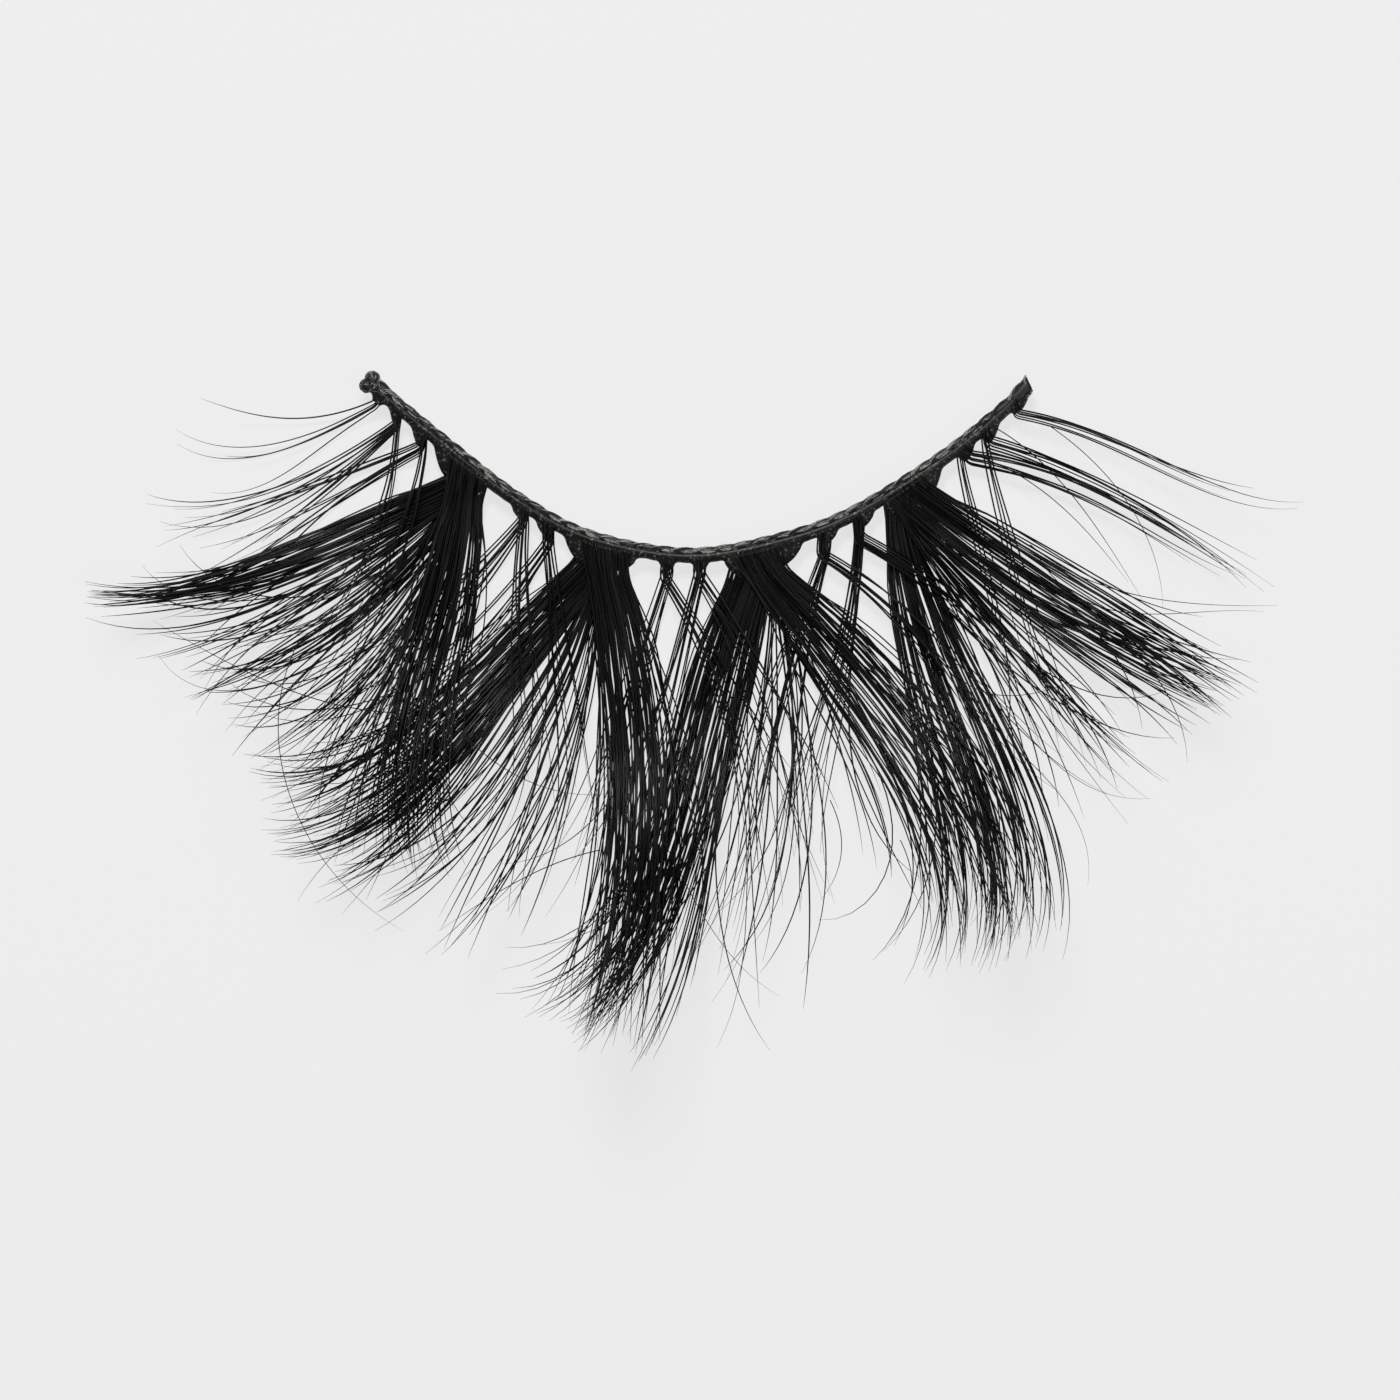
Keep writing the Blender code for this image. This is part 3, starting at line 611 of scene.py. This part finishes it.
def tube_mesh(name, path, radii, tone, sides):
    """One mesh of closed tapered tubes, a ring of corners round each point of each path."""
    count, points = radii.shape
    tangent = np.gradient(path, axis=1)
    tangent /= np.linalg.norm(tangent, axis=2, keepdims=True) + 1e-12
    side = np.cross(tangent, (0.0, 0.0, 1.0))
    side /= np.linalg.norm(side, axis=2, keepdims=True) + 1e-12
    up = np.cross(side, tangent)
    angle = np.arange(sides) * tau / sides
    ring = np.cos(angle)[:, None] * side[:, :, None] + np.sin(angle)[:, None] * up[:, :, None]
    corners = path[:, :, None] + ring * radii[:, :, None, None]

    first = (np.arange(count) * points * sides)[:, None, None]
    row = (np.arange(points - 1) * sides)[None, :, None]
    here = np.arange(sides)[None, None, :]
    there = (here + 1) % sides
    low = first + row
    quads = [low + here, low + here + sides, low + there + sides, low + there]
    quads = np.stack(quads, axis=-1).reshape(-1, 4)
    cap = np.arange(sides)
    roots = (np.arange(count) * points * sides)[:, None] + cap
    tips = (np.arange(count) * points * sides + (points - 1) * sides)[:, None] + cap[::-1]
    caps = np.concatenate([roots, tips])

    mesh = bpy.data.meshes.new(name)
    mesh.vertices.add(count * points * sides)
    mesh.vertices.foreach_set("co", corners.astype(np.float32).ravel())
    loops = np.concatenate([quads.ravel(), caps.ravel()])
    mesh.loops.add(len(loops))
    mesh.loops.foreach_set("vertex_index", loops.astype(np.int32))
    cap_starts = len(quads) * 4 + np.arange(len(caps)) * sides
    starts = np.concatenate([np.arange(len(quads)) * 4, cap_starts])
    mesh.polygons.add(len(starts))
    mesh.polygons.foreach_set("loop_start", starts.astype(np.int32))
    mesh.update(calc_edges=True)
    mesh.validate()
    shade = mesh.attributes.new("tone", "FLOAT", "POINT")
    shade.data.foreach_set("value", np.repeat(tone.astype(np.float32), points * sides))
    mesh.shade_smooth()
    return mesh


def link(name, mesh, material):
    piece = bpy.data.objects.new(name, mesh)
    bpy.context.scene.collection.objects.link(piece)
    mesh.materials.append(material)
    return piece


def finish_piece(piece, slot, *nodes):
    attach(piece, "root")
    if nodes:
        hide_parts(*nodes)


def make_tuft(tuft, material, number):
    parts = []
    for order, leg in enumerate(tuft.legs):
        rng = np.random.default_rng(LEG_SEED + 10 * number + order)
        parts.append(hair_paths(tuft, leg, rng, leg.core, False))
        parts.append(hair_paths(tuft, leg, rng, leg.loose, True))
    path, radii, tone = (np.concatenate(kind) for kind in zip(*parts))
    name = f"{tuft.name}_lashes"
    piece = link(name, tube_mesh(name, path, radii, tone, HAIR_SIDES), material)
    finish_piece(piece, "lash_fibre", tuft.name)


def cord_line(run):
    """Plan points of the cord's middle, and its unit vectors along and across."""
    share = np.maximum(run, 0.0) / BAND_LENGTH
    along, side = tangent_at(share), side_at(share)
    offset = CORD_MIDDLE + CORD_CUT_SHIFT * cut_share(run)
    middle = band_at(share) + side * offset[:, None]
    return middle + along * np.minimum(run, 0.0)[:, None], along, side


def make_braid(material):
    """Three strands of twisted filaments, plaited flat, and spread wide at the cut end."""
    rng = np.random.default_rng(BRAID_SEED)
    run = np.linspace(-CORD_OVERRUN, BAND_LENGTH, CORD_STEPS + 1)
    swell = cord_swell(run)
    middle, along, side = cord_line(run)
    paths = []
    for strand in range(3):
        plait = tau * (run / BRAID_PERIOD + strand / 3)
        for filament in range(FILAMENTS):
            twist = tau * (run / STRAND_TWIST + filament / FILAMENTS)
            across = STRAND_SWING * np.sin(plait) + STRAND_RADIUS * np.cos(twist)
            up = STRAND_LIFT * np.sin(2 * plait) + STRAND_RADIUS * np.sin(twist)
            up /= 1.0 + CORD_CUT_SWELL * cut_share(run)
            across *= swell
            skew = -np.tan(CORD_CUT_SLANT) * across * cut_share(run)
            plan = middle + side * across[:, None] + along * skew[:, None]
            paths.append(np.concatenate([plan, (BAND_LEVEL + up * swell)[:, None]], axis=1))
    radii = np.full((len(paths), CORD_STEPS + 1), FILAMENT_RADIUS)
    # Each filament's tone sets its depth of black and how many painted glints it shows.
    tone = rng.uniform(0.0, 1.0, len(paths))
    mesh = tube_mesh("braided_cord", np.array(paths), radii, tone, FILAMENT_SIDES)
    finish_piece(link("braided_cord", mesh, material), "band_thread", "band_cord")
    make_knob(material, rng)


def make_knob(material, rng):
    """Thread wound every way round the lobes at the cord's left end."""
    turns = []
    angle = np.linspace(0.0, tau, KNOB_STEPS + 1)
    for lobe in knob_lobes():
        for _ in range(KNOB_TURNS):
            axis = Vector(rng.normal(0.0, 1.0, 3)).normalized()
            first = axis.orthogonal().normalized()
            second = axis.cross(first)
            size = KNOB_RADIUS * rng.uniform(0.85, 1.0)
            circle = np.cos(angle)[:, None] * np.array(first)
            circle = circle + np.sin(angle)[:, None] * np.array(second)
            turns.append(np.array(lobe) + circle * size)
    radii = np.full((len(turns), len(angle)), FILAMENT_RADIUS * KNOB_THREAD)
    # The knob's turns get lower tones, so they show fewer painted glints.
    tone = rng.uniform(0.1, 0.6, len(turns))
    mesh = tube_mesh("cord_knob", np.array(turns), radii, tone, KNOB_THREAD_SIDES)
    finish_piece(link("cord_knob", mesh, material), "band_thread")


def knob_lobes():
    """Middles of the knob's lobes and of the turn that joins them to the cord."""
    middle, along, side = cord_line(np.array([0.0]))
    lobes = []
    for across, forward in KNOB_LOBES:
        plan = middle[0] + side[0] * across + along[0] * forward
        lobes.append((plan[0], plan[1], BAND_LEVEL))
    return lobes


def sweep(bm, rings):
    """Push a closed ring of corners through every ring of places and close both ends."""
    ring = [bm.verts.new(corner) for corner in rings[0]]
    edges = [bm.edges.new(pair) for pair in zip(ring, ring[1:] + ring[:1])]
    bm.faces.new(ring)
    for corners in rings[1:]:
        pushed = bmesh.ops.extrude_edge_only(bm, edges=edges)["geom"]
        verts = [item for item in pushed if isinstance(item, bmesh.types.BMVert)]
        edges = [item for item in pushed if isinstance(item, bmesh.types.BMEdge)]
        for vertex, corner in zip(verts, corners):
            vertex.co = corner
    bmesh.ops.contextual_create(bm, geom=edges)


def make_cord_core(material):
    """Dark body of the cord under its filaments, with the bodies of the knob's lobes."""
    bm = bmesh.new()
    run = np.linspace(-CORD_OVERRUN, BAND_LENGTH, CORE_STEPS + 1)
    middle, along, side = cord_line(run)
    swell = cord_swell(run)
    skew = -np.tan(CORD_CUT_SLANT) * cut_share(run)
    rings = []
    for station in range(len(run)):
        ring = []
        for corner in range(CORE_CORNERS):
            angle = tau * corner / CORE_CORNERS
            across = CORE_HALF_WIDTH * cos(angle) * swell[station]
            plan = middle[station] + side[station] * across
            plan = plan + along[station] * across * skew[station]
            up = CORE_HALF_HEIGHT * sin(angle) * swell[station]
            ring.append((plan[0], plan[1], BAND_LEVEL + up))
        rings.append(ring)
    sweep(bm, rings)
    for lobe in knob_lobes():
        ball = bmesh.ops.create_icosphere(bm, subdivisions=3, radius=KNOB_RADIUS * KNOB_BODY)
        bmesh.ops.translate(bm, vec=lobe, verts=ball["verts"])
    bmesh.ops.recalc_face_normals(bm, faces=bm.faces)
    finish_piece(link("cord_core", bmesh_mesh("cord_core", bm), material), "band_thread")


def bmesh_mesh(name, bm):
    """A mesh with its edges and faces in the order of their corners, the same in every run."""
    bm.verts.index_update()
    for items in (bm.edges, bm.faces):
        ranked = sorted(items, key=lambda item: sorted(corner.index for corner in item.verts))
        for index, item in enumerate(ranked):
            item.index = index
        items.sort()
    mesh = bpy.data.meshes.new(name)
    bm.to_mesh(mesh)
    bm.free()
    mesh.shade_smooth()
    return mesh


def glue_reach(share):
    """How far the glue reaches past its lip at a share of the band, and in which direction."""
    side = side_at(share)
    reach, towards = 0.0, side
    for tuft in TUFTS:
        across = (share - tuft.start) / (tuft.end - tuft.start)
        outside = max(tuft.start - share, share - tuft.end, 0.0) * BAND_LENGTH
        if outside == 0.0:
            full = tuft.end - tuft.start > FULL_KNOT
            inside = 1.0 - abs(2 * across - 1) ** (FULL_KNOT_SKIRT if full else SLIM_KNOT_SKIRT)
            skirt = GLUE_SKIRT * float(knot_depth(tuft, across))
            return blend(GLUE_FILLET, skirt, inside), lean_of(tuft)
        if outside < GLUE_FILLET:
            fillet = GLUE_FILLET - (GLUE_FILLET ** 2 - (GLUE_FILLET - outside) ** 2) ** 0.5
            if fillet > reach:
                weight = 1.0 - outside / GLUE_FILLET
                towards = side * (1 - weight) + lean_of(tuft) * weight
                towards = towards / np.linalg.norm(towards)
                reach = fillet
    return reach, towards


def make_glue(material):
    """Web of glue: half under the cord, a lip along it, and skirts that hold the knots."""
    bm = bmesh.new()
    start = GLUE_SETBACK / BAND_LENGTH
    rings = []
    below = tuple((across, -up, far) for across, up, far in reversed(GLUE_SECTION))
    corners = GLUE_SECTION + below
    for station in range(GLUE_STATIONS + 1):
        share = blend(start, 1.0 - 2 * start, station / GLUE_STATIONS)
        reach, towards = glue_reach(share)
        base, side = band_at(share), side_at(share)
        uneven = noise.noise(Vector((share * GLUE_LUMPS, 3.1, 0.0))) * GLUE_UNEVENNESS
        reach += uneven
        places = np.array([
            base + side * across + towards * reach * far for across, up, far in corners
        ])
        level = bowl_height(places)
        rings.append([
            (place[0], place[1], height + up * GLUE_HALF_HEIGHT)
            for place, height, (across, up, far) in zip(places, level, corners)
        ])
    sweep(bm, rings)
    bmesh.ops.recalc_face_normals(bm, faces=bm.faces)
    piece = link("glue_web", bmesh_mesh("glue_web", bm), material)
    finish_piece(piece, "bonding_glue", "bonding_strip")


# Middle lines of the single stray hairs in plan, in millimetres from the lowest point of the bow.
STRAYS = (
    ((11.41, 4.5), (14.6, 3.02), (16.78, 1.09), (18.66, -1.22)),
    ((12.75, 5.6), (15.03, 3.93), (16.56, 2.1), (18.09, 0.0), (19.27, -1.97)),
    ((14.38, 0.44), (17.61, -1.35), (20.06, -1.97), (22.68, -2.19), (25.17, -2.23)),
    ((14.81, -0.22), (18.35, -2.49), (21.37, -2.53), (24.52, -2.49)),
    ((15.2, 5.65), (17.87, 3.28), (19.4, 0.92), (20.15, -2.4)),
    ((10.44, -3.71), (12.5, -6.03), (14.6, -6.03), (16.69, -5.24)),
    ((10.44, -4.59), (13.37, -8.08), (16.08, -11.23), (16.87, -12.72), (16.78, -14.42)),
    ((10.88, -4.59), (13.59, -7.08), (16.17, -9.66), (19.62, -10.62)),
    ((-2.67, -10.71), (-0.44, -14.77), (1.57, -17.74), (3.45, -19.23)),
    ((3.02, -8.08), (2.05, -13.2), (1.88, -17.09), (0.66, -21.46)),
    ((-11.84, -5.9), (-9.66, -8.52), (-6.56, -10.23), (-3.89, -10.4)),
    ((-17.52, -3.71), (-18.4, -8.08), (-16.61, -13.11), (-14.73, -15.08), (-12.94, -16.39)),
    ((-14.03, -3.71), (-18.49, -5.55), (-20.58, -5.9), (-22.24, -5.68), (-23.64, -4.37)),
    ((-13.33, -6.9), (-15.78, -6.56), (-18.35, -5.77), (-21.24, -4.37), (-23.9, -2.88)),
    ((-10.97, -10.71), (-16.21, -13.33), (-17.52, -15.08)),
    ((-4.41, -12.89), (-7.91, -14.2), (-10.09, -15.51), (-11.41, -16.39)),
    ((5.64, -10.71), (6.07, -13.33), (5.2, -15.08)),
    ((8.7, -12.45), (9.13, -15.08), (8.26, -16.82)),
)


def make_strays(material):
    """Single hairs that leave their tufts and curve across the gaps."""
    rng = np.random.default_rng(STRAY_SEED)
    steps = ROOT_STEPS + LEG_STEPS + 1
    s = np.linspace(0.0, 1.0, steps)
    paths = []
    for stray in STRAYS:
        marks = np.array(stray) * MILLIMETRE + SHIFT
        between = np.linalg.norm(np.diff(marks, axis=0), axis=1)
        length = np.concatenate([[0.0], np.cumsum(between)])
        order = min(3, len(marks) - 1)
        curves = [np.poly1d(np.polyfit(length, marks[:, axis], order)) for axis in (0, 1)]
        run = np.linspace(0.0, length[-1], steps)
        plan = np.stack([curve(run) for curve in curves], axis=1)
        height = bowl_height(plan) + LAYER_OFFSET * STRAY_LIFT + STRAY_RISE * s ** 2
        paths.append(np.concatenate([plan, height[:, None]], axis=1))
    thickness = STRAY_THICKNESS * rng.uniform(0.85, 1.1, len(paths))
    radii = HAIR_RADIUS * thickness[:, None] * (1.0 - STRAY_THINNING * s ** STRAY_TAPER)
    tone = rng.uniform(0.3, 0.7, len(paths))
    mesh = tube_mesh("stray_hairs", np.array(paths), radii, tone, HAIR_SIDES)
    finish_piece(link("stray_hairs", mesh, material), "lash_fibre")


def new_material(name):
    material = bpy.data.materials.new(name)
    material.use_nodes = True
    nodes = material.node_tree.nodes
    return material, nodes, material.node_tree.links, nodes["Principled BSDF"]


def add_noise(nodes, links, scale, detail):
    """A noise over the object's own coordinates."""
    place = nodes.new("ShaderNodeTexCoord")
    patches = nodes.new("ShaderNodeTexNoise")
    patches.inputs["Scale"].default_value = scale
    patches.inputs["Detail"].default_value = detail
    links.new(place.outputs["Object"], patches.inputs["Vector"])
    return patches


def add_ramp(nodes, links, factor, stops):
    ramp = nodes.new("ShaderNodeValToRGB")
    while len(ramp.color_ramp.elements) < len(stops):
        ramp.color_ramp.elements.new(0.5)
    for element, (position, grey) in zip(ramp.color_ramp.elements, stops):
        element.position = position
        element.color = (grey[0], grey[1], grey[2], 1.0)
    links.new(factor, ramp.inputs["Fac"])
    return ramp


def add_product(nodes, links, first, second):
    product = nodes.new("ShaderNodeMath")
    product.operation = "MULTIPLY"
    links.new(first, product.inputs[0])
    links.new(second, product.inputs[1])
    return product.outputs["Value"]


def lash_fibre():
    """Near-black synthetic hair with a soft gloss: each hair has its own depth of black,
    lightened in noise patches along it as painted sheen.
    """
    material, nodes, links, shader = new_material("lash_fibre")
    tone = nodes.new("ShaderNodeAttribute")
    tone.attribute_name = "tone"
    # Noise patches along the hairs lighten their black: painted sheen.
    patches = add_noise(nodes, links, 260.0, 2.0)
    shade = add_product(nodes, links, tone.outputs["Fac"], patches.outputs["Fac"])
    stops = ((0.0, (0.0003, 0.0003, 0.0004)), (0.5, (0.024, 0.024, 0.023)))
    ramp = add_ramp(nodes, links, shade, stops)
    links.new(ramp.outputs["Color"], shader.inputs["Base Color"])
    shader.inputs["Roughness"].default_value = 0.30
    shader.inputs["Specular IOR Level"].default_value = 0.17
    return material


def band_thread():
    """Black thread, slightly glossy, with pale flecks along its filaments: painted glints on the
    thread and its specks of dried glue.
    """
    material, nodes, links, shader = new_material("band_thread")
    tone = nodes.new("ShaderNodeAttribute")
    tone.attribute_name = "tone"
    # Pale flecks where a filament's tone lets them show: painted glints on the thread and its
    # specks of dried glue.
    glint_flecks = add_noise(nodes, links, 8000.0, 3.0)
    shade = add_product(nodes, links, tone.outputs["Fac"], glint_flecks.outputs["Fac"])
    stops = (
        (0.08, (0.010, 0.010, 0.010)), (0.22, (0.040, 0.040, 0.037)), (0.40, (0.42, 0.42, 0.385)),
    )
    ramp = add_ramp(nodes, links, shade, stops)
    links.new(ramp.outputs["Color"], shader.inputs["Base Color"])
    shader.inputs["Roughness"].default_value = 0.42
    shader.inputs["Specular IOR Level"].default_value = 0.55
    return material


def bonding_glue():
    """Black glue, satin, with faint lumps where it has set and pale specks that are painted
    glints.
    """
    material, nodes, links, shader = new_material("bonding_glue")
    lumps = add_noise(nodes, links, 2600.0, 4.0)
    # Pale specks on the glue: painted glints.
    glint_flecks = add_noise(nodes, links, 7600.0, 2.0)
    stops = (
        (0.48, (0.007, 0.007, 0.007)), (0.60, (0.028, 0.028, 0.027)), (0.72, (0.20, 0.20, 0.19)),
    )
    ramp = add_ramp(nodes, links, glint_flecks.outputs["Fac"], stops)
    links.new(ramp.outputs["Color"], shader.inputs["Base Color"])
    bump = nodes.new("ShaderNodeBump")
    bump.inputs["Strength"].default_value = 0.25
    bump.inputs["Distance"].default_value = 0.00005
    links.new(lumps.outputs["Fac"], bump.inputs["Height"])
    links.new(bump.outputs["Normal"], shader.inputs["Normal"])
    shader.inputs["Roughness"].default_value = 0.45
    shader.inputs["Specular IOR Level"].default_value = 0.45
    return material


def make_floor():
    bm = bmesh.new()
    bmesh.ops.create_grid(bm, x_segments=1, y_segments=1, size=FLOOR_HALF_WIDTH)
    mesh = bpy.data.meshes.new("floor")
    bm.to_mesh(mesh)
    bm.free()
    material, _, _, shader = new_material("pale_floor")
    shader.inputs["Base Color"].default_value = (0.16, 0.16, 0.16, 1.0)
    shader.inputs["Roughness"].default_value = 0.9
    shader.inputs["Specular IOR Level"].default_value = 0.0
    shader.inputs["Emission Color"].default_value = (1.0, 1.0, 1.0, 1.0)
    shader.inputs["Emission Strength"].default_value = FLOOR_GLOW
    link("floor", mesh, material)


def make_lights():
    world = bpy.data.worlds.new("studio")
    world.use_nodes = True
    background = world.node_tree.nodes["Background"]
    background.inputs["Color"].default_value = (1.0, 1.0, 1.0, 1.0)
    background.inputs["Strength"].default_value = SKY_STRENGTH
    bpy.context.scene.world = world
    for name, place, size, power in LAMPS:
        light = bpy.data.lights.new(name, "AREA")
        light.size = size
        light.energy = power
        lamp = bpy.data.objects.new(name, light)
        lamp.location = place
        lamp.rotation_euler = Vector(place).to_track_quat("Z", "Y").to_euler()
        bpy.context.scene.collection.objects.link(lamp)


def make_camera():
    lens = bpy.data.cameras.new("camera")
    lens.sensor_width = SENSOR_WIDTH
    lens.lens = SENSOR_WIDTH * CAMERA_HEIGHT / PHOTO_WIDTH
    lens.clip_start = 0.01
    lens.clip_end = 10.0
    camera = bpy.data.objects.new("camera", lens)
    camera.location = (SHIFT[0] + PHOTO_CENTRE_X, SHIFT[1] + PHOTO_CENTRE_Y, CAMERA_HEIGHT)
    bpy.context.scene.collection.objects.link(camera)
    bpy.context.scene.camera = camera


def build():
    bpy.context.scene.view_settings.view_transform = "Standard"
    fibre, thread, glue = lash_fibre(), band_thread(), bonding_glue()
    for number, tuft in enumerate(TUFTS):
        make_tuft(tuft, fibre, number)
    make_braid(thread)
    make_cord_core(thread)
    make_glue(glue)
    make_strays(fibre)
    make_floor()
    make_lights()
    make_camera()


build()
